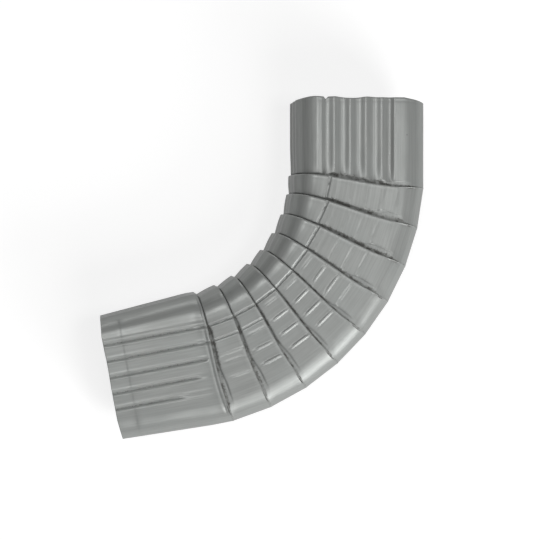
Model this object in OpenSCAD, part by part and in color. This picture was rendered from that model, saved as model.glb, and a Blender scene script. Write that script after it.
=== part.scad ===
// Rectangular corrugated downspout elbow, formed from one tube of sheet metal.
// It lies on one wide face: the bend is in the XY plane, the inlet points to +Y
// and the outlet points to -X and a little to -Y. Water runs from inlet to outlet.
// The throat is the inner side of the bend and the heel is the outer side.

/* [Duct section] */
// Width of the two wide faces, from the throat wall to the heel wall
face_w = 76; // [72:1:110]
// Width of the two narrow walls, the throat wall and the heel wall
side_w = 51; // [50:1:80]
// Thickness of the sheet
sheet_t = 0.6; // [0.4:0.1:1]
// Outside radius of the two corners beside the throat wall
throat_corner_r = 12; // [5:0.5:12]
// Outside radius of the two corners beside the heel wall
heel_corner_r = 14; // [6:0.5:15]

/* [Corrugations] */
// Number of grooves along each wide face
face_grooves = 5; // [2:1:5]
// Number of grooves along each narrow wall
side_grooves = 2; // [1:1:2]
// Distance from the throat wall to the middle of the first groove of a wide face
groove_from_throat = 18.1; // [18:0.1:22]
// Distance from the heel wall to the middle of the last groove of a wide face
groove_from_heel = 20.3; // [19:0.1:24]
// Distance from each wide face to the middle of the nearest groove of a narrow wall
groove_from_face = 19; // [18.7:0.1:21]
// Depth of a groove in the two straight legs
groove_depth = 1.6; // [0.6:0.1:2]
// Depth that is left of a groove in the bend, where the pleats flatten it
bend_groove_depth = 0.5; // [0.1:0.1:1]
// Half the width of a groove in the inlet leg
inlet_groove_half = 3.1; // [1.5:0.1:3.6]
// Half the width of a groove in the bend and the outlet leg
groove_half = 2.2; // [1.5:0.1:3.6]

/* [Lock seam] */
// Width of the lock seam, which ends at the first groove of the upper wide face
seam_w = 2.5; // [1.5:0.1:2.8]
// How far the lock seam stands out of its face
seam_rise = 0.5; // [0.2:0.1:1]

/* [Bend] */
// Angle that the elbow turns the water by
turn = 79.7; // [45:0.1:90]
// Number of pleats that make the bend
crimps = 9; // [4:1:9]
// Distance from the centre of the bend to the throat wall
throat_r = 75.8; // [74:0.1:140]
// Length of the inlet leg, from its rim to the start of the bend
inlet_len = 41.6; // [20:0.1:120]
// Length of the outlet leg, from the end of the bend to its rim
outlet_len = 54; // [30:0.1:120]

/* [Pleats] */
// How far the tail of a segment dips under the next one at the throat
fold_depth = 2; // [1:0.1:2.6]
// How far the fold runs on under the lip at the throat
fold_tuck = 2.2; // [0.5:0.1:3]
// How far before its lip a pleat starts at the throat
roll_start = 2.6; // [1.5:0.1:4]
// How far before its line a pleat starts near the heel, where it opens out
heel_roll_start = 4.5; // [2:0.1:6]
// How far a lip stands out of the wall at the throat
lip_rise = 1.3; // [0.2:0.1:2]
// How far the tail of a segment has sunk where the pleat starts at the throat
tail_sink = 0.4; // [0:0.1:1]
// Distance from the heel wall at which a pleat has run out
pleat_end = 3; // [1:0.5:12]
// How far the lip of the first pleat leads towards the inlet at the throat
first_lead = 3.2; // [0:0.1:3.5]
// How far the lip of the last pleat trails towards the outlet at the throat
last_trail = 0.8; // [0:0.1:1.5]
// How far each lip sags towards the outlet, most at about two thirds of a wide face
lip_sag = 1.5; // [0:0.1:2]

/* [Outlet end] */
// How far the throat wall of the outlet leg stands out where the leg starts
outlet_flare = 1.5; // [0:0.1:2]
// How far the throat wall is drawn in at the outlet rim
taper_throat = 2.3; // [0:0.1:5]
// How far the heel wall is drawn in at the outlet rim
taper_heel = 1.5; // [0:0.1:5]
// How far each wide face is drawn in at the outlet rim
taper_face = 1.2; // [0:0.1:2.5]
// Length of the pressed band that slips into the next pipe
band_len = 12; // [6:0.5:20]
// How far the wall of the pressed band is set in
band_set = 0.5; // [0.1:0.1:1]
// Depth that is left of a groove in the pressed band
band_groove_depth = 0.9; // [0.1:0.1:1.4]

/* [Rims] */
// How far the heel wall ends short of the inlet rim
inlet_heel_short = 3.1; // [0:0.1:4]
// How far the narrow walls end short of the outlet rim
outlet_side_short = 1; // [0:0.1:3]

/* [Hidden] */
sheet_gray = [0.58, 0.6, 0.58];
// Flat pieces that stand for one round corner
corner_steps = 4;
// Where the folded tail lies before its line once the pleat has run out at the heel
tail_gap = 1.2;
// How much longer than the sheet is thick the inside of a sharp fold may reach
fold_reach = 2;
// Length over which the walls step in to the pressed band
band_step = 1.5;
// Distance after the last pleat at which the outlet grooves have their full depth
groove_restart = 6;
// How fast a pleat loses depth on its way to the heel
pleat_power = 0.7;
// How late on that way a lip sags most: 1 is halfway
sag_power = 1.6;
// Turn at each pleat
crimp_turn = turn / crimps;
// Growth of the cut between two segments with the distance from the bend's centre
half_cut = tan(crimp_turn / 2);

function mix(a, b, share) = a + (b - a) * share;

// Evenly spread grooves of one wall as [place, share of the depth], three points to a groove
function marks(first, last, count, half) = [
    for (k = [0 : count - 1])
        for (e = [-1, 0, 1])
            [mix(first, last, count == 1 ? 0.5 : k / (count - 1)) + e * half, 1 - abs(e)]
];

function flip(list) = [for (i = [len(list) - 1 : -1 : 0]) list[i]];

// Points of a round corner as [u, z, inward u, inward z]
function corner(cu, cz, r, from) = [
    for (i = [0 : corner_steps])
        let (a = from + 90 * i / corner_steps)
            [cu + r * cos(a), cz + r * sin(a), -cos(a), -sin(a)]
];

// Outside of the tube in one plane across it, as [u, z, inward u, inward z].
// u runs from the throat wall to the heel wall and z from the lower wide face up.
// half and depth are those of the grooves, rise is the lock seam's, and inset is
// how far the throat wall, the heel wall and the wide faces are drawn in.
function outline(half, depth, rise, inset) =
    let (u0 = inset[0])
    let (u1 = face_w - inset[1])
    let (z0 = inset[2])
    let (z1 = side_w - inset[2])
    let (face_squeeze = (u1 - u0) / face_w)
    let (side_squeeze = (z1 - z0) / side_w)
    let (face_marks = marks(groove_from_throat, face_w - groove_from_heel, face_grooves, half))
    let (side_marks = marks(groove_from_face, side_w - groove_from_face, side_grooves, half))
    let (wide = [for (m = face_marks) [u0 + m[0] * face_squeeze, m[1]]])
    let (side = [for (m = side_marks) [z0 + m[0] * side_squeeze, m[1]]])
    let (seam_u1 = wide[0][0])
    let (seam_u0 = seam_u1 - seam_w * face_squeeze)
    let (rt = throat_corner_r, rh = heel_corner_r)
    concat(
        [for (m = wide) [m[0], z0 + depth * m[1], 0, 1]],
        corner(u1 - rh, z0 + rh, rh, -90),
        [for (m = side) [u1 - depth * m[1], m[0], -1, 0]],
        corner(u1 - rh, z1 - rh, rh, 0),
        [for (i = [len(wide) - 1 : -1 : 1]) [wide[i][0], z1 - depth * wide[i][1], 0, -1]],
        [[seam_u1, z1 + rise, 0, -1], [seam_u0 + rise, z1 + rise, 0, -1], [seam_u0, z1, 0, -1]],
        corner(u0 + rt, z1 - rt, rt, 90),
        [for (m = flip(side)) [u0 + depth * m[1], m[0], 1, 0]],
        corner(u0 + rt, z0 + rt, rt, 180)
    );

// How much of the way along a pleat is left at u: 1 at the throat and 0 where it runs out
function pleat_left(u) = max(0, min(1, (face_w - pleat_end - u) / (face_w - pleat_end - throat_corner_r)));

// How deep a pleat is at u
function pleat_share(u) = pow(pleat_left(u), pleat_power);

// The fold of one pleat along the flow as [distance past the line, depth]
function tail_point(w) = [-mix(heel_roll_start, roll_start, w), tail_sink * w];
function fold_point(w) = [mix(-tail_gap, fold_tuck, w), fold_depth * w];
function lip_point(w) = [0, -lip_rise * w];

function unit(v) = v / norm(v);
function left_of(v) = unit([-v[1], v[0]]);

// Way from the outside of the sheet to its inside at point b of the path a, b, c
function through_sheet(a, b, c) =
    let (n = left_of(b - a))
    let (m = unit(n + left_of(c - b)))
    m * sheet_t * min(fold_reach, 1 / max(m * n, 0.01));

// Distance from pleat to pleat along the flow at u
function pitch_at(u) = 2 * (throat_r + u) * half_cut;
function lead_of(crimp, u) =
    mix(first_lead, -last_trail, (crimp - 1) / (crimps - 1)) * pleat_share(u)
        - lip_sag * sin(180 * pow(1 - pleat_left(u), sag_power));

straight = [0, sheet_t];
flat_inset = [0, 0, 0];
bend_line = outline(groove_half, 0, seam_rise, flat_inset);
tail_line = outline(groove_half, bend_groove_depth, seam_rise, flat_inset);
inlet_line = outline(inlet_groove_half, groove_depth, seam_rise, flat_inset);

// One ring of the skin is [segment, [for each point: u, z, flow, through flow, through depth]]

// A ring of a pleat: which is 0 for the tail, 1 for the fold and 2 for the lip
function pleat_ring(crimp, which) =
    let (line = which == 0 ? (crimp == 1 ? inlet_line : tail_line) : bend_line)
    [which == 0 ? crimp - 1 : crimp, [
        for (p = line)
            let (w = pleat_share(p[0]))
            let (before = lip_point(w) - [pitch_at(p[0]), 0])
            let (after = tail_point(w) + [pitch_at(p[0]), 0])
            let (path = [before, tail_point(w), fold_point(w), lip_point(w), after])
            let (at = path[which + 1])
            let (through = through_sheet(path[which], at, path[which + 2]))
            let (u = p[0] + at[1] * p[2])
            let (z = p[1] + at[1] * p[3])
            let (cut = (which == 0 ? 1 : -1) * (throat_r + u) * half_cut)
                [u, z, cut + at[0] - lead_of(crimp, p[0]), through[0], through[1]]
    ]];

// A ring halfway along a segment of the bend
function middle_ring(segment) = [segment, [
    for (p = tail_line)
        let (w = pleat_share(p[0]))
        let (d = (lip_point(w)[1] + tail_point(w)[1]) / 2)
        let (lead = (lead_of(segment, p[0]) + lead_of(segment + 1, p[0])) / 2)
            [p[0] + d * p[2], p[1] + d * p[3], -lead, 0, sheet_t]
]];

// A ring straight across a leg; short is how far the [throat, heel] walls end before it
function leg_ring(segment, line, flow, short) = [segment, [
    for (p = line)
        let (at_throat = max(0, 1 - p[0] / throat_corner_r))
        let (at_heel = max(0, 1 - (face_w - p[0]) / heel_corner_r))
            [p[0], p[1], flow - short * [at_throat, at_heel], 0, sheet_t]
]];

// The ring beside the last pleat where the grooves of the outlet leg start
function restart_ring(line) = [crimps, [
    for (p = line) [p[0], p[1], groove_restart - (throat_r + p[0]) * half_cut, 0, sheet_t]
]];

// Outline of the outlet leg at a share of its way to the rim, band is 0 or 1
function outlet_line(share, depth, band) =
    let (inset = [mix(-outlet_flare, taper_throat, share), taper_heel * share, taper_face * share])
        outline(groove_half, depth, seam_rise, inset + [1, 1, 1] * band_set * band);

band_start = outlet_len - band_len;

rings = concat(
    [leg_ring(0, inlet_line, -inlet_len, [0, -inlet_heel_short])],
    [for (crimp = [1 : crimps])
        each concat(
            [for (which = [0 : 2]) pleat_ring(crimp, which)],
            crimp < crimps ? [middle_ring(crimp)] : []
        )
    ],
    [
        restart_ring(outlet_line(0, groove_depth, 0)),
        leg_ring(crimps, outlet_line(band_start / outlet_len, groove_depth, 0), band_start, [0, 0]),
        leg_ring(crimps, outlet_line((band_start + band_step) / outlet_len, band_groove_depth, 1),
            band_start + band_step, [0, 0]),
        leg_ring(crimps, outlet_line(1, band_groove_depth, 1), outlet_len, outlet_side_short * [1, 1])
    ]
);

ring_points = len(bend_line);
ring_count = len(rings);

// Place of a point of a segment: u across, z up, flow along
function place(segment, u, z, flow) =
    let (a = segment * crimp_turn)
        [(throat_r + u) * cos(a) - flow * sin(a), -(throat_r + u) * sin(a) - flow * cos(a), z];

// Way to the inside at point j of a ring, across the tube
function across(ring, j) =
    let (n = len(ring))
    let (a = ring[(j + n - 1) % n], b = ring[j], c = ring[(j + 1) % n])
    let (n1 = left_of([b[0] - a[0], b[1] - a[1]]))
    let (m = unit(n1 + left_of([c[0] - b[0], c[1] - b[1]])))
        m / (m * n1);

outside = [for (r = rings) for (p = r[1]) place(r[0], p[0], p[1], p[2])];
inside = [
    for (r = rings)
        for (j = [0 : ring_points - 1])
            let (p = r[1][j], m = across(r[1], j))
                place(r[0], p[0] + m[0] * p[4], p[1] + m[1] * p[4], p[2] + p[3])
];

// Two triangles between ring i and the next one at point j, first is where the skin starts
function skin_pair(first, i, j) =
    let (a = first + i * ring_points + j)
    let (b = first + i * ring_points + (j + 1) % ring_points)
    let (c = b + ring_points, d = a + ring_points)
        [[a, c, b], [a, d, c]];

function rim_pair(ring, j) =
    let (a = ring * ring_points + j)
    let (b = ring * ring_points + (j + 1) % ring_points)
    let (shift = ring_count * ring_points)
        [[a, b + shift, b], [a, a + shift, b + shift]];

function turned(faces) = [for (f = faces) [f[2], f[1], f[0]]];

faces = concat(
    [for (i = [0 : ring_count - 2]) for (j = [0 : ring_points - 1]) each skin_pair(0, i, j)],
    [for (i = [0 : ring_count - 2]) for (j = [0 : ring_points - 1])
        each turned(skin_pair(ring_count * ring_points, i, j))],
    [for (j = [0 : ring_points - 1]) each turned(rim_pair(0, j))],
    [for (j = [0 : ring_points - 1]) each rim_pair(ring_count - 1, j)]
);

low = [for (k = [0 : 2]) min([for (p = outside) p[k]])];
high = [for (k = [0 : 2]) max([for (p = outside) p[k]])];
base_middle = [(low[0] + high[0]) / 2, (low[1] + high[1]) / 2, low[2]];

module elbow() {
    color(sheet_gray)
        translate(-base_middle)
            polyhedron(points = concat(outside, inside), faces = faces, convexity = 12);
}

elbow();
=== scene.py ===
"""Looks of a corrugated downspout elbow: one folded sheet with satin grey paint, lying on a pale floor."""
import bpy
import math
import numpy as np
from mathutils import Matrix, Vector


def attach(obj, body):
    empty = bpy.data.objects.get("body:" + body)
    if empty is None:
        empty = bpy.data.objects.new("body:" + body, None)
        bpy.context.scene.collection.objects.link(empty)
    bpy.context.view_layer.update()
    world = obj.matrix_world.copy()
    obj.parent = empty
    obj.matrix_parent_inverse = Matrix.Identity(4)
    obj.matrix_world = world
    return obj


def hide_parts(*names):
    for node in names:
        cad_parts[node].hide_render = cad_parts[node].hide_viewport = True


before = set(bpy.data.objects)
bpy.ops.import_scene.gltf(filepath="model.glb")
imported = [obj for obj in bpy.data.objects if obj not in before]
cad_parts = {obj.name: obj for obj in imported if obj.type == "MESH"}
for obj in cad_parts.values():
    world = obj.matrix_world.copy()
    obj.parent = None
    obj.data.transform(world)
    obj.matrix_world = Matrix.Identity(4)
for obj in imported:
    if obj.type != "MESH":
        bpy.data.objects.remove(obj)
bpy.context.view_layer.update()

# Sizes in mm, the same as the part's own. u runs from the throat wall to the heel wall,
# z from the lower wide face up, and flow from the inlet to the outlet.
FACE_W, SIDE_W, SHEET = 76.0, 51.0, 0.6
THROAT_CORNER, HEEL_CORNER = 12.0, 14.0
TURN, CRIMPS, THROAT_R = math.radians(79.7), 9, 75.8
INLET_LEN, OUTLET_LEN = 41.6, 54.0
LIP_RISE, TAIL_SINK, FOLD_DEPTH, FOLD_TUCK = 1.3, 0.4, 1.6, 1.2
PLEAT_END, PLEAT_POWER, SAG_POWER = 3.0, 0.55, 1.6
TAPER = (2.3, 2.1, 1.2)
OUTLET_FLARE = 1.5
BAND_LEN, BAND_SET = 12.0, (0.0, 0.0, 0.25)
# Distance from a rim over which its waves fade
RIM_FADE = 6.0
# Rows close to the inlet rim, to the outlet rim and to the last lip, by their distance from it
INLET_RIM_ROWS = (0.12, 0.5, 1.0, 1.6, 2.2, 2.8, 3.6, 4.7)
OUTLET_RIM_ROWS = (6.0, 4.0, 2.4, 1.2, 0.5, 0.12)
LIP_ROWS = (0.5, 0.95, 1.4, 1.85, 2.4, 3.4)
LIP_ROWS_END, OUTLET_STRETCH = 4.6, 55.4
# Rows across the step into the outlet band: distance past its start, and how much of the set is reached
BAND_ROWS = ((0.0, 0.0), (0.5, 0.3), (1.0, 0.7), (1.6, 1.0), (3.5, 1.0))
THROAT_SHORT, HEEL_SHORT, SIDE_SHORT = 1.6, 3.1, 1.0
CRIMP_TURN = TURN / CRIMPS
HALF_CUT = math.tan(CRIMP_TURN / 2)

# The grooves of the wide faces: in the inlet leg, and in the outlet leg with the flow at which each starts
INLET_GROOVES = (16.4, 25.7, 34.9, 44.2, 53.4)
OUTLET_GROOVES = ((17.4, -30, -20), (26.7, -30, -20), (36.2, -5, 1), (45.6, -1, 9), (54.9, 9, 24))
WALL_GROOVES = (19.0, 32.0)

# Each pleat: how far its lip leads at the throat, how far it sags near the heel,
# and the width of its gap in the middle of the face and near the heel
PLEATS = (
    (2.9, 1.9, 2.5, 3.6),
    (3.3, 1.5, 2.4, 5.4),
    (2.4, 1.3, 2.2, 4.8),
    (1.6, 1.3, 1.7, 4.2),
    (0.9, 1.5, 1.2, 3.4),
    (0.9, 1.4, 1.4, 3.4),
    (0.6, 1.3, 1.6, 3.6),
    (0.4, 1.5, 2.2, 4.4),
    (-1.2, 1.4, 2.6, 4.4),
)

# What the pleating left of the grooves in each segment of the bend, as
# [u at the lip, u at the tail, depth or minus the height, half the width]
SEGMENTS = (
    ((18.2, 17.8, 0.75, 1.2), (22.4, 22.4, -0.12, 1.8), (32.4, 32.2, -0.16, 1.8), (40.8, 40.6, -0.18, 1.6),
     (50.2, 50.0, -0.20, 1.6), (58.4, 58.2, -0.12, 2.0)),
    ((18.4, 16.9, 0.80, 1.2), (22.2, 22.0, -0.12, 1.8), (32.2, 31.8, -0.16, 1.7), (41.0, 40.6, -0.22, 1.6),
     (50.0, 49.8, -0.24, 1.6)),
    ((17.6, 16.7, 0.80, 1.2), (22.0, 21.6, -0.14, 1.7), (31.8, 31.2, -0.22, 1.5), (41.0, 40.4, -0.28, 1.4),
     (49.8, 49.6, -0.26, 1.4)),
    ((17.1, 16.8, 0.80, 1.2), (21.4, 21.3, -0.26, 1.4), (31.1, 30.9, -0.50, 1.4), (40.6, 40.4, -0.56, 1.4),
     (49.8, 49.7, -0.36, 1.4)),
    ((17.0, 17.2, 0.80, 1.2), (21.5, 21.6, -0.34, 1.3), (31.0, 31.1, -0.60, 1.35), (40.7, 40.5, -0.66, 1.35),
     (50.0, 49.8, -0.60, 1.35)),
    ((17.0, 17.2, 0.80, 1.2), (21.2, 21.3, -0.22, 1.3), (30.8, 31.0, -0.56, 1.35), (40.4, 40.4, -0.64, 1.35),
     (50.0, 49.9, -0.70, 1.35)),
    ((17.1, 17.3, 0.80, 1.2), (26.1, 26.3, 0.45, 1.2), (31.0, 31.1, -0.22, 1.4), (40.6, 40.5, -0.50, 1.35),
     (50.0, 49.8, -0.62, 1.35)),
    ((17.2, 17.4, 0.90, 1.3), (26.2, 26.4, 0.55, 1.2), (35.7, 35.8, 0.26, 1.2), (40.6, 40.5, -0.16, 1.4),
     (49.9, 49.8, -0.30, 1.3)),
)


def smooth(x, a, b):
    t = np.clip((x - a) / (b - a), 0, 1)
    return t * t * (3 - 2 * t)


def bump(x, half):
    """1 in the middle and 0 at half the width."""
    return np.where(np.abs(x) < half, 0.5 + 0.5 * np.cos(np.pi * x / half), 0.0)


def mix(a, b, t):
    return a + (b - a) * t


def waves(points, length, seed, count=16):
    """Smooth seeded noise in space, about 1 strong."""
    r = np.random.default_rng(seed)
    way = r.normal(size=(count, 3))
    way /= np.linalg.norm(way, axis=1)[:, None]
    k = way * (2 * np.pi / (length * r.uniform(0.7, 1.6, count)))[:, None]
    return np.sin(points @ k.T + r.uniform(0, 2 * np.pi, count)).sum(axis=-1) / math.sqrt(count / 2)


def ring_shape():
    """The rounded outline of the tube: u, z, inward normal, and which wall each point is on."""
    rt, rh, w, h = THROAT_CORNER, HEEL_CORNER, FACE_W, SIDE_W
    parts = []

    def line(a, b, count, normal, wall):
        for t in np.arange(count) / count:
            parts.append((mix(a[0], b[0], t), mix(a[1], b[1], t), *normal, wall))

    def corner(cu, cz, r, start, count, wall):
        for t in np.arange(count) / count:
            a = math.radians(start + 90 * t)
            parts.append((cu + r * math.cos(a), cz + r * math.sin(a), -math.cos(a), -math.sin(a), wall))

    line((rt, 0), (w - rh, 0), 60, (0, 1), 0)
    corner(w - rh, rh, rh, -90, 10, 2)
    line((w, rh), (w, h - rh), 18, (-1, 0), 3)
    corner(w - rh, h - rh, rh, 0, 20, 1)
    line((w - rh, h), (rt, h), 138, (0, -1), 1)
    corner(rt, h - rt, rt, 90, 18, 1)
    line((0, h - rt), (0, rt), 22, (1, 0), 4)
    corner(rt, rt, rt, 180, 8, 2)
    a = np.array(parts)
    return a[:, 0], a[:, 1], a[:, 2], a[:, 3], a[:, 4].astype(int)


U, Z, NU, NZ, WALL = ring_shape()
UPPER = (WALL == 1) & (Z > SIDE_W / 2)
LEFT = np.clip((FACE_W - PLEAT_END - U) / (FACE_W - PLEAT_END - THROAT_CORNER), 0, 1)
SHARE = LEFT ** PLEAT_POWER
ON_FACE = np.abs(NZ)
AROUND = np.concatenate([[0], np.cumsum(np.hypot(np.diff(U), np.diff(Z)))])
SIDE_IN = np.clip(NU, 0, 1)
NEAR_THROAT, NEAR_HEEL = 1 - smooth(U, 0, 17), smooth(U, 50, 76)


def lead(crimp):
    """How far the lip of a pleat runs ahead of its line."""
    at_throat, sag = PLEATS[crimp - 1][:2]
    sagging = sag * np.sin(np.pi * (1 - LEFT) ** SAG_POWER)
    return at_throat * SHARE - sagging - 0.5 * np.clip(1 - U / 9, 0, 1) ** 2


def line_in(crimp):
    """Flow at the lip of a pleat, in the frame of the segment before it."""
    return (THROAT_R + U) * HALF_CUT - lead(crimp)


def line_out(crimp):
    """Flow at the lip of a pleat, in the frame of the segment after it."""
    return -(THROAT_R + U) * HALF_CUT - lead(crimp)


def after_fold(inside):
    """How far past the lip the rows of the next stretch start."""
    return mix(0.9, FOLD_TUCK + 2.6, SHARE) + 0.8 if inside else 0.75


def gap_width(crimp):
    mid, heel = PLEATS[crimp - 1][2:]
    w = mix(1.0, mid, smooth(U, 13, 22))
    w = mix(w, heel, smooth(U, 40, 55))
    return mix(w, 0.9, smooth(U, 62, 73))


def shade_and_grime_reach(crimp):
    """How far the painted shade and grime in a gap reach back from the lip."""
    w = mix(0.55, 0.95 * PLEATS[crimp - 1][2], smooth(U, 14, 22))
    return mix(w, 0.7, smooth(U, 46, 55))


def wall_relief(depth, half):
    r = sum(bump(Z - z, half) for z in WALL_GROOVES)
    return depth * r * ((WALL == 3) | (WALL == 4))


def seam(height, place=13.7):
    return -height * bump(U - place, 1.7) * UPPER


def shoulder(throat=0.12):
    """The wide faces fall away softly towards their corners."""
    return ON_FACE * (0.45 * smooth(U, 56, 66) + throat * (1 - smooth(U, 6, 13.5)))


def relief_inlet():
    pitch = INLET_GROOVES[1] - INLET_GROOVES[0]
    first, last = INLET_GROOVES[0], INLET_GROOVES[-1]
    repeated = (0.5 + 0.5 * np.cos(2 * np.pi * (U - first) / pitch)) ** 0.7
    d = np.where(U < first, bump(U - first, 3.0), np.where(U > last, bump(U - last, 3.4), repeated))
    return 1.5 * d * ON_FACE + seam(0.2, 11.6) + wall_relief(1.0, 3.4) + shoulder(0.7)


def relief_bend(segment, t):
    """t is 0 at the lip and 1 at the tail."""
    ends = smooth(t, 0.0, 0.12) * (1 - smooth(t, 0.72, 0.9))
    d = np.zeros_like(U)
    for u0, u1, depth, half in SEGMENTS[segment - 1]:
        here = bump(U - mix(u0, u1, t), half)
        d += depth * here * (ends if depth < 0 else 1)
    rib_ends = np.zeros_like(U)
    if segment <= 4:
        for u in (22.0, 31.4, 40.6, 50.0):
            rib_ends -= 0.5 * bump(U - u, 1.3) * bump(t - 0.96, 0.09)
    return (d + rib_ends) * ON_FACE + seam(0.04) + wall_relief(0.25, 2.6) + shoulder()


def groove_shade(flow):
    """Painted shade: the bottoms of the narrow grooves on the upper face of the outlet leg are painted
    darker.
    """
    return UPPER * sum(
        0.42 * smooth(flow, start, full) * bump(U - u, 0.85)
        for u, start, full in OUTLET_GROOVES
    )


def relief_outlet(flow, in_band):
    d = np.zeros_like(U)
    for u, start, full in OUTLET_GROOVES:
        x = U - u
        here = 0.95 * bump(x, 1.15) - 0.2 * bump(np.abs(x) - 1.7, 0.9)
        d += smooth(flow, start, full) * here
    d *= mix(1.0, 0.8, in_band)
    lines = bump(U - 53.4, 0.9) + bump(U - 56.6, 0.9)
    streaks = -0.12 * lines * smooth(flow, -4, 0) * (1 - smooth(flow, 16, 26))
    return (d + streaks) * ON_FACE + seam(0.16) + wall_relief(1.0, 2.2) * smooth(flow, -2, 8) + shoulder()


def between(a, b, before, after):
    """The point halfway between a and b on a smooth curve through before, a, b, after."""
    return (9 * (a + b) - before - after) / 16


def pleat_curve(crimp):
    """The fold of one pleat, as rows of [past the line, depth, how much painted shade and grime, which
    segment's frame].
    """
    w = SHARE
    soft = smooth(w, 0.0, 0.35)
    gap = gap_width(crimp)
    dive = np.minimum(0.9, 0.45 * gap)
    sink, top = TAIL_SINK * w, -LIP_RISE * w
    open_heel = smooth(U, 45, 58)
    floor = mix(FOLD_DEPTH * w, 0.9 * FOLD_DEPTH * w, open_heel)
    deep = FOLD_DEPTH * w

    def x(throat, heel):
        return mix(heel, throat, soft)

    k = [
        (-gap - 0.5, sink - 0.12 * open_heel * w),
        (-gap + 0.15 * x(1, 0.5), sink + 0.10 * (floor - sink) - 0.14 * open_heel * w),
        (-gap + 0.75 * dive, sink + 0.60 * (floor - sink)),
        (-gap + 1.35 * dive, sink + 0.96 * (floor - sink)),
        (x(-0.10, -0.42), deep + 0.1 * w),
        (x(FOLD_TUCK, -0.30), deep + 0.2 * w),
        (x(FOLD_TUCK + 0.3, -0.22), (deep + top) / 2 + 0.35 * w),
        (x(0.5, -0.14), top + 1.1 * w),
        (x(-0.2, -0.05), top + 0.55 * w),
        (x(0.0, 0.1), top + 0.06 * w),
        (x(0.75, 0.75), top - 0.16 * w * UPPER),
    ]
    k = [np.stack(q) for q in k]
    # Painted shade, partly grime: the rows from the tail into the fold and under the lip are painted dark,
    # fading out over the lip.
    grime = [np.clip(1 + q[0] / (2 * shade_and_grime_reach(crimp)), 0, 1) for q in k[:4]]
    grime += [1 + 0 * U] * 4 + [0.75 + 0 * U, 0.12 + 0 * U, 0 * U]
    up = [0] * 5 + [1] * 6
    rows = []
    for i, q in enumerate(k):
        rows.append((q[0], q[1], grime[i], up[i]))
        if i in (1, 2, 8, 9):
            m = between(k[i], k[i + 1], k[i - 1], k[min(i + 2, len(k) - 1)])
            rows.append((m[0], m[1], (grime[i] + grime[i + 1]) / 2, up[i]))
    return rows


class Skin:
    """Rows of points round the tube, one after another along the flow."""

    def __init__(self, pick):
        self.pick = pick
        self.points, self.grime, self.along = [], [], []

    def add(self, segment, flow, depth, share=None, band=0.0, grime=0.0, cut=0):
        inset = [0.0, 0.0, 0.0]
        if share is not None:
            inset = [TAPER[i] * share + BAND_SET[i] * band for i in range(3)]
            inset[0] = inset[0] - OUTLET_FLARE * (1 - share)
        u = U + inset[0] * NEAR_THROAT - inset[1] * NEAR_HEEL + depth * NU
        z = inset[2] + Z * (SIDE_W - 2 * inset[2]) / SIDE_W + depth * NZ
        f = flow + cut * (THROAT_R + u) * HALF_CUT + 0 * U
        a = segment * CRIMP_TURN
        p = np.stack([(THROAT_R + u) * math.cos(a) - f * math.sin(a),
                      -(THROAT_R + u) * math.sin(a) - f * math.cos(a), z], 1)
        self.points.append(p[self.pick])
        self.grime.append((grime + 0 * U)[self.pick])
        self.along.append((f + segment * CRIMP_TURN * (THROAT_R + FACE_W / 2))[self.pick])


def rim_in(distance):
    """Flow of a row near the inlet rim, whose edge is a little wavy and nicked at the seam."""
    face = 0.3 * bump(U - 16, 7) + 1.0 * bump(U - 31, 12) + 0.5 * smooth(U, 38, 48) * (1 - smooth(U, 60, 72))
    nick = 1.5 * np.clip(1 - np.abs(U - 16.2) / 1.3, 0, 1) * UPPER
    short = face * ON_FACE + HEEL_SHORT * np.clip(1 - (FACE_W - U) / HEEL_CORNER, 0, 1) + nick
    short += THROAT_SHORT * np.clip(1 - U / np.where(Z > SIDE_W / 2, 9, 24), 0, 1) ** 1.5
    if distance < RIM_FADE:
        return -INLET_LEN + mix(short, RIM_FADE, distance / RIM_FADE)
    return -INLET_LEN + distance + 0 * U


def rim_out(distance):
    """Flow of a row near the outlet rim."""
    side = np.clip(1 - U / THROAT_CORNER, 0, 1) + np.clip(1 - (FACE_W - U) / HEEL_CORNER, 0, 1)
    short = SIDE_SHORT * side + 0.25 * bump(U - 30, 14) * ON_FACE
    if distance < RIM_FADE:
        return OUTLET_LEN - mix(short, RIM_FADE, distance / RIM_FADE)
    return OUTLET_LEN - distance + 0 * U


def add_inlet_leg(skin, off, count):
    relief = relief_inlet()
    crease = -0.3 * bump(U - 15.4, 0.8) * UPPER
    for d in INLET_RIM_ROWS:
        fine = crease + 0.2 * bump(d, 0.6) + 0.1 * bump(d - 2.2, 1.0)
        skin.add(0, rim_in(d), relief + fine + off)
    end = line_in(1) + pleat_curve(1)[0][0]
    for t in np.arange(count) / count:
        flow = mix(-INLET_LEN + RIM_FADE, end, t)
        fine = crease * (1 - smooth(t, 0.05, 0.2))
        grooves = relief * (1 - 0.25 * smooth(t, 0.85, 1))
        skin.add(0, flow, grooves + fine + off + TAIL_SINK * SHARE * smooth(t, 0.55, 1))


def add_inner_fold(skin, crimp, off, before):
    """The fold from inside: past the lip, depth, before or after the cut, and how much relief is kept."""
    w = SHARE
    gap = gap_width(crimp)
    rows = (
        (-gap - 0.6, TAIL_SINK * w, 0, 1.0),
        (-gap * 0.5, mix(TAIL_SINK, FOLD_DEPTH, 0.7) * w, 0, 0.4),
        (mix(-0.3, FOLD_TUCK + 0.6, w), (FOLD_DEPTH + 0.6) * w, 1, 0.0),
        (mix(0.0, FOLD_TUCK + 1.3, w), (0.5 * FOLD_DEPTH + 0.3) * w, 1, 0.0),
        (mix(0.9, FOLD_TUCK + 2.6, w), (-0.8 * LIP_RISE + 0.1) * w, 1, 0.0),
    )
    for x, d, up, keep in rows:
        skin.add(crimp - 1 + up, x - lead(crimp), d + off + before * keep, cut=-1 if up else 1)


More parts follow.
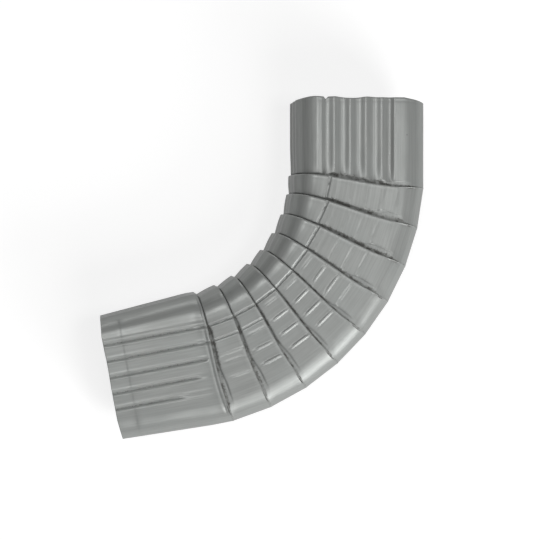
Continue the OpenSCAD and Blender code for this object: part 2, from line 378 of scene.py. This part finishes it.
def add_outer_fold(skin, crimp, before, after):
    """The fold seen from outside: the relief before it runs out and the one after it runs in."""
    rows = pleat_curve(crimp)
    n = len(rows)
    for i, (x, d, grime, up) in enumerate(rows):
        keep_before = max(0.0, 1 - i / 5)
        keep_after = max(0.0, min(1.0, (i - n + 4) / 2))
        line = 0.6 if 5 <= i <= n - 3 else 1.0
        extra = before * keep_before + after * keep_after * line
        # The painted shade and grime of the gap fade partly towards the heel.
        fold_shade_and_grime = grime * (1 - 0.65 * smooth(U, 63, 73))
        skin.add(crimp - 1 + up, x - lead(crimp), d + extra, grime=fold_shade_and_grime, cut=-1 if up else 1)


def add_segment(skin, segment, off, inside, count):
    begin = line_out(segment) + after_fold(inside)
    end = line_in(segment + 1) + pleat_curve(segment + 1)[0][0]
    top = -LIP_RISE * SHARE
    for t in (np.arange(count) + 1) / (count + 1):
        body = mix(top, TAIL_SINK * SHARE, t) - 0.22 * np.sin(np.pi * t) * SHARE * smooth(U, 26, 8)
        relief = relief_bend(segment, t) * (0.5 if inside else 1)
        skin.add(segment, mix(begin, end, t), body + relief + off)


def add_outlet_leg(skin, off, inside, count):
    begin = line_out(CRIMPS) + after_fold(inside)
    band_at = OUTLET_LEN - BAND_LEN
    close = () if inside else LIP_ROWS
    for away in [*close, *(LIP_ROWS_END + OUTLET_STRETCH * np.arange(count) / count)]:
        if away < LIP_ROWS_END:
            flow = begin + away
        else:
            flow = mix(begin + LIP_ROWS_END, band_at, (away - LIP_ROWS_END) / OUTLET_STRETCH)
        rest = 1 - smooth(flow - begin, -1, 7)
        top = -LIP_RISE * SHARE * rest + OUTLET_FLARE * SIDE_IN * rest
        crease = 0.3 * bump(flow - begin - 1.4, 0.9) * smooth(U, 14, 24) * (1 - smooth(U, 66, 72)) * UPPER
        share = np.clip(flow, 0, band_at) / OUTLET_LEN
        depth = top + crease + relief_outlet(flow, 0) + off
        skin.add(CRIMPS, flow, depth, share=share, grime=groove_shade(flow))
    for past, band in BAND_ROWS:
        flow = band_at + past
        depth = relief_outlet(flow + 0 * U, band) + off
        skin.add(CRIMPS, flow, depth, share=flow / OUTLET_LEN, band=band, grime=groove_shade(flow))
    for d in OUTLET_RIM_ROWS:
        flow = rim_out(d)
        share = 1 - d / OUTLET_LEN
        skin.add(CRIMPS, flow, relief_outlet(flow, 1) + off, share=share, band=1.0, grime=groove_shade(flow))


def build_skin(skin, off, inlet_rows, segment_rows, outlet_rows):
    """Fills a skin that lies at a depth under the outside."""
    inside = off > 0
    add_inlet_leg(skin, off, inlet_rows)
    for c in range(1, CRIMPS + 1):
        before = 0.75 * relief_inlet() if c == 1 else relief_bend(c - 1, 1.0)
        if inside:
            add_inner_fold(skin, c, off, before)
        elif c < CRIMPS:
            add_outer_fold(skin, c, before, relief_bend(c, 0.0))
        else:
            add_outer_fold(skin, c, before, relief_outlet(-(THROAT_R + U) * HALF_CUT, 0))
        if c < CRIMPS:
            add_segment(skin, c, off, inside, segment_rows)
    add_outlet_leg(skin, off, inside, outlet_rows)


def build_mesh():
    count = len(U)
    every = np.arange(count)
    outer, inner = Skin(every), Skin(every[::2])
    build_skin(outer, 0.0, 16, 7, 18)
    build_skin(inner, SHEET, 8, 2, 9)
    # the cut edge of the sheet at each rim, two rows on the outer skin's points
    rims = []
    for flow, relief, share, band, seg in (
        (rim_in(0.0), relief_inlet() + 0.2, None, 0.0, 0),
        (rim_out(0.0), relief_outlet(rim_out(0.0), 1), 1.0, 1.0, CRIMPS),
    ):
        rim = Skin(every)
        rim.add(seg, flow, relief + 0.12, share=share, band=band)
        rim.add(seg, flow, relief + SHEET - 0.12, share=share, band=band)
        rims.append(rim)
    rows = [rims[0].points[1], rims[0].points[0], *outer.points, rims[1].points[0], rims[1].points[1]]
    grime = [rims[0].grime[1], rims[0].grime[0], *outer.grime, rims[1].grime[0], rims[1].grime[1]]
    along = [rims[0].along[1], rims[0].along[0], *outer.along, rims[1].along[0], rims[1].along[1]]
    faces = []
    n, m = len(rows), len(rows[0])
    j = np.arange(m)
    jn = (j + 1) % m
    for i in range(n - 1):
        a = i * m
        faces.append(np.stack([a + j, a + m + j, a + m + jn, a + jn], 1))
    verts = [np.concatenate(rows)]
    marks = [[np.concatenate(grime)], [np.concatenate(along)], [np.tile(AROUND, n)]]
    base = n * m
    half = len(inner.points[0])
    k = np.arange(half)
    kn = (k + 1) % half
    for i in range(len(inner.points) - 1):
        a = base + i * half
        faces.append(np.stack([a + k, a + kn, a + half + kn, a + half + k], 1))
    verts.append(np.concatenate(inner.points))
    marks[0].append(np.concatenate(inner.grime))
    marks[1].append(np.concatenate(inner.along))
    marks[2].append(np.tile(AROUND[::2], len(inner.points)))
    tris = []
    for row, first, flip in ((0, base, False), ((n - 1) * m, base + (len(inner.points) - 1) * half, True)):
        o0, o1, o2 = row + 2 * k, row + (2 * k + 1) % m, row + (2 * k + 2) % m
        i0, i1 = first + k, first + kn
        for t in ((o0, o1, i0), (o1, o2, i1), (o1, i1, i0)):
            t = np.stack(t, 1)
            tris.append(t[:, ::-1] if flip else t)
    points = np.concatenate(verts)
    quads, tris = np.concatenate(faces), np.concatenate(tris)
    # rolled sheet is never quite flat: shallow waves a few hundredths of a millimetre deep
    wobble = 0.05 * waves(points, 26.0, 3) + 0.02 * waves(points, 9.0, 4) - 0.18
    upper = smooth(points[:, 2], 30, 44) - smooth(-points[:, 2], -21, -7)
    points[:, 2] += wobble * upper
    return points, quads, tris, [np.concatenate(m) for m in marks]


def make_elbow():
    points, quads, tris, marks = build_mesh()
    mesh = bpy.data.meshes.new("elbow_sheet")
    mesh.vertices.add(len(points))
    mesh.vertices.foreach_set("co", ((points - BASE_MIDDLE) / 1000).ravel())
    loops = np.concatenate([quads.ravel(), tris.ravel()])
    starts = np.concatenate([np.arange(len(quads)) * 4, len(quads) * 4 + np.arange(len(tris)) * 3])
    mesh.loops.add(len(loops))
    mesh.loops.foreach_set("vertex_index", loops.astype(np.int32))
    mesh.polygons.add(len(starts))
    mesh.polygons.foreach_set("loop_start", starts.astype(np.int32))
    mesh.update(calc_edges=True)
    mesh.validate()
    mesh.shade_smooth()
    # The first attribute marks where the paint is darkened by painted shade and grime in the folds and
    # grooves.
    for name, values in zip(("grime", "along", "around"), marks):
        mesh.attributes.new(name, "FLOAT", "POINT").data.foreach_set("value", values.astype(np.float32))
    obj = bpy.data.objects.new("elbow_sheet", mesh)
    bpy.context.scene.collection.objects.link(obj)
    return obj


# The camera looks down on the upper wide face from above the outlet leg. It is set by the point of
# the image straight below it, the scale there and the place of the bend's centre in the image.
CAMERA = dict(height=860.0, foot=(101.5, 314.0), scale=1.749, centre=(166.55, 167.7), roll=0.002)
BASE_MIDDLE = np.array([56.8316, -57.644, -1.3])
IMAGE = 540
FLOOR_GLOW = 0.73


def make_camera():
    f = CAMERA["scale"] * CAMERA["height"]
    half = IMAGE / 2
    a = math.atan((half - CAMERA["foot"][0]) / f)
    b = math.atan((CAMERA["foot"][1] - half) / math.hypot(f, half - CAMERA["foot"][0]))
    about_y = np.array([[math.cos(a), 0, math.sin(a)], [0, 1, 0], [-math.sin(a), 0, math.cos(a)]])
    about_x = np.array([[1, 0, 0], [0, math.cos(b), -math.sin(b)], [0, math.sin(b), math.cos(b)]])
    c = CAMERA["roll"]
    about_z = np.array([[math.cos(c), -math.sin(c), 0], [math.sin(c), math.cos(c), 0], [0, 0, 1]])
    turn = about_z @ about_x @ about_y
    way = turn.T @ np.array([(CAMERA["centre"][0] - half) / f, -(CAMERA["centre"][1] - half) / f, -1])
    seen = way * (-CAMERA["height"] / way[2])
    place = np.array([-seen[0], -seen[1], SIDE_W + CAMERA["height"]])
    cam = bpy.data.objects.new("camera", bpy.data.cameras.new("camera"))
    cam.data.sensor_width = 36
    cam.data.lens = f / IMAGE * 36
    m = Matrix(turn.T.tolist()).to_4x4()
    m.translation = ((place - BASE_MIDDLE) / 1000).tolist()
    cam.matrix_world = m
    bpy.context.scene.collection.objects.link(cam)
    bpy.context.scene.camera = cam


PAINT_DARK = (0.315, 0.325, 0.315, 1)
PAINT_LIGHT = (0.365, 0.375, 0.365, 1)
PAINT_COOL = (0.335, 0.352, 0.343, 1)
# Dark grey of the painted shade, partly grime, in the fold gaps and outlet grooves; also the colour of the
# speck of dirt
SHADE_AND_GRIME_GREY = (0.125, 0.125, 0.118, 1)
# A speck of dirt on the upper face of the inlet leg
SPECK = (0.0827, 0.0771, 0.0523)


def sheet_paint():
    """Satin grey paint: draw lines along the flow, fine grain, painted shade and grime in the folds and
    grooves, and one speck of dirt.
    """
    mat = bpy.data.materials.new("satin_grey_paint")
    mat.use_nodes = True
    nodes, links = mat.node_tree.nodes, mat.node_tree.links
    bsdf = nodes["Principled BSDF"]

    def attribute(name):
        n = nodes.new("ShaderNodeAttribute")
        n.attribute_name = name
        return n.outputs["Fac"]

    def math_node(kind, a, b=0.0, c=0.0):
        n = nodes.new("ShaderNodeMath")
        n.operation = kind
        for i, v in enumerate((a, b, c)):
            if isinstance(v, (int, float)):
                n.inputs[i].default_value = v
            else:
                links.new(v, n.inputs[i])
        return n.outputs[0]

    def noise(vector, scale, detail, rough):
        n = nodes.new("ShaderNodeTexNoise")
        n.inputs["Scale"].default_value = scale
        n.inputs["Detail"].default_value = detail
        n.inputs["Roughness"].default_value = rough
        links.new(vector, n.inputs["Vector"])
        return n.outputs["Fac"]

    def ramp(value, low, high, to_low=0.0, to_high=1.0):
        n = nodes.new("ShaderNodeMapRange")
        n.interpolation_type = "SMOOTHSTEP"
        links.new(value, n.inputs["Value"])
        for key, v in (("From Min", low), ("From Max", high), ("To Min", to_low), ("To Max", to_high)):
            n.inputs[key].default_value = v
        return n.outputs[0]

    def blend(factor, a, b):
        n = nodes.new("ShaderNodeMix")
        n.data_type = "RGBA"
        links.new(factor, n.inputs["Factor"])
        for socket, v in ((n.inputs[6], a), (n.inputs[7], b)):
            if isinstance(v, tuple):
                socket.default_value = v
            else:
                links.new(v, socket)
        return n.outputs[2]

    grime, along, around = attribute("grime"), attribute("along"), attribute("around")
    drawn = nodes.new("ShaderNodeCombineXYZ")
    links.new(math_node("MULTIPLY", along, 0.035), drawn.inputs["X"])
    links.new(around, drawn.inputs["Y"])
    place = nodes.new("ShaderNodeTexCoord").outputs["Object"]
    streaks = noise(drawn.outputs[0], 0.9, 3.0, 0.6)
    broad = noise(place, 38.0, 2.0, 0.5)
    grain = noise(place, 2600.0, 2.0, 0.6)
    ragged = noise(place, 900.0, 3.0, 0.7)

    paint = blend(ramp(streaks, 0.3, 0.7), PAINT_DARK, PAINT_LIGHT)
    paint = blend(ramp(broad, 0.35, 0.65, 0.0, 0.35), paint, PAINT_COOL)
    rough_edge = math_node("ADD", grime, math_node("MULTIPLY", math_node("SUBTRACT", ragged, 0.5), 1.1))
    patchy = ramp(noise(place, 260.0, 2.0, 0.6), 0.38, 0.6, 0.35, 1.0)
    shade_and_grime_amount = math_node("MULTIPLY", ramp(rough_edge, 0.25, 0.65), patchy)
    # Painted shade and grime: the fold gaps and outlet grooves are painted dark grey, with a ragged, patchy
    # edge.
    colour = blend(shade_and_grime_amount, paint, SHADE_AND_GRIME_GREY)
    away = nodes.new("ShaderNodeVectorMath")
    away.operation = "DISTANCE"
    links.new(place, away.inputs[0])
    away.inputs[1].default_value = SPECK
    speck = ramp(away.outputs["Value"], 0.0003, 0.0009, 1.0, 0.0)
    colour = blend(speck, colour, SHADE_AND_GRIME_GREY)
    links.new(colour, bsdf.inputs["Base Color"])
    bsdf.inputs["Metallic"].default_value = 0.27
    bsdf.inputs["Specular IOR Level"].default_value = 0.08
    bsdf.inputs["Specular Tint"].default_value = (0.4, 0.4, 0.4, 1)
    dull = math_node("MULTIPLY", shade_and_grime_amount, 0.3)
    links.new(math_node("ADD", ramp(grain, 0.3, 0.7, 0.33, 0.41), dull), bsdf.inputs["Roughness"])

    height = math_node("ADD", math_node("MULTIPLY", streaks, 0.7), math_node("MULTIPLY", grain, 0.3))
    bump_node = nodes.new("ShaderNodeBump")
    bump_node.inputs["Strength"].default_value = 0.5
    bump_node.inputs["Distance"].default_value = 0.00006
    links.new(height, bump_node.inputs["Height"])
    links.new(bump_node.outputs[0], bsdf.inputs["Normal"])
    return mat


def make_floor():
    """A white studio floor. The camera and reflections see it a little brighter, and its shadow stays."""
    mesh = bpy.data.meshes.new("floor")
    mesh.from_pydata([(-6, -6, 0), (6, -6, 0), (6, 6, 0), (-6, 6, 0)], [], [(0, 1, 2, 3)])
    obj = bpy.data.objects.new("floor", mesh)
    bpy.context.scene.collection.objects.link(obj)
    mat = bpy.data.materials.new("floor_white")
    mat.use_nodes = True
    nodes, links = mat.node_tree.nodes, mat.node_tree.links
    bsdf = nodes["Principled BSDF"]
    bsdf.inputs["Base Color"].default_value = (0.4, 0.4, 0.4, 1)
    bsdf.inputs["Roughness"].default_value = 0.9
    bsdf.inputs["Specular IOR Level"].default_value = 0.1
    rays = nodes.new("ShaderNodeLightPath")
    seen = rays.outputs["Is Camera Ray"]
    for name in ("Is Glossy Ray", "Is Transmission Ray"):
        either = nodes.new("ShaderNodeMath")
        either.operation = "MAXIMUM"
        links.new(seen, either.inputs[0])
        links.new(rays.outputs[name], either.inputs[1])
        seen = either.outputs[0]
    glow = nodes.new("ShaderNodeMath")
    glow.operation = "MULTIPLY"
    glow.inputs[1].default_value = FLOOR_GLOW
    links.new(seen, glow.inputs[0])
    bsdf.inputs["Emission Color"].default_value = (1, 1, 1, 1)
    links.new(glow.outputs[0], bsdf.inputs["Emission Strength"])
    mesh.materials.append(mat)
    obj.location.z = -0.0005


def softbox(name, around, height, distance, size, power):
    """A square softbox at an angle round the object and a height over the floor, both in degrees."""
    light = bpy.data.lights.new(name, "AREA")
    light.shape = "SQUARE"
    light.size = size
    light.energy = power
    obj = bpy.data.objects.new(name, light)
    a, e = math.radians(around), math.radians(height)
    obj.location = distance * Vector((math.cos(e) * math.cos(a), math.cos(e) * math.sin(a), math.sin(e)))
    obj.rotation_mode = "QUATERNION"
    obj.rotation_quaternion = (-obj.location).to_track_quat("-Z", "Y")
    bpy.context.scene.collection.objects.link(obj)


elbow = make_elbow()
elbow.data.materials.append(sheet_paint())
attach(elbow, "root")
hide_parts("elbow")
make_camera()
make_floor()
softbox("right_low", 312, 24, 1.4, 0.6, 10.0)
softbox("right", 296, 46, 1.4, 0.7, 6.0)
softbox("back_low", 100, 14, 1.4, 0.45, 3.6)
softbox("over_left", 155, 74, 1.4, 0.34, 4.6)
softbox("over_right", 8, 75, 1.4, 0.3, 2.5)
world = bpy.data.worlds.new("world")
bpy.context.scene.world = world
world.use_nodes = True
world.node_tree.nodes["Background"].inputs["Color"].default_value = (1, 1, 1, 1)
world.node_tree.nodes["Background"].inputs["Strength"].default_value = 0.02
bpy.context.scene.view_settings.view_transform = "Standard"
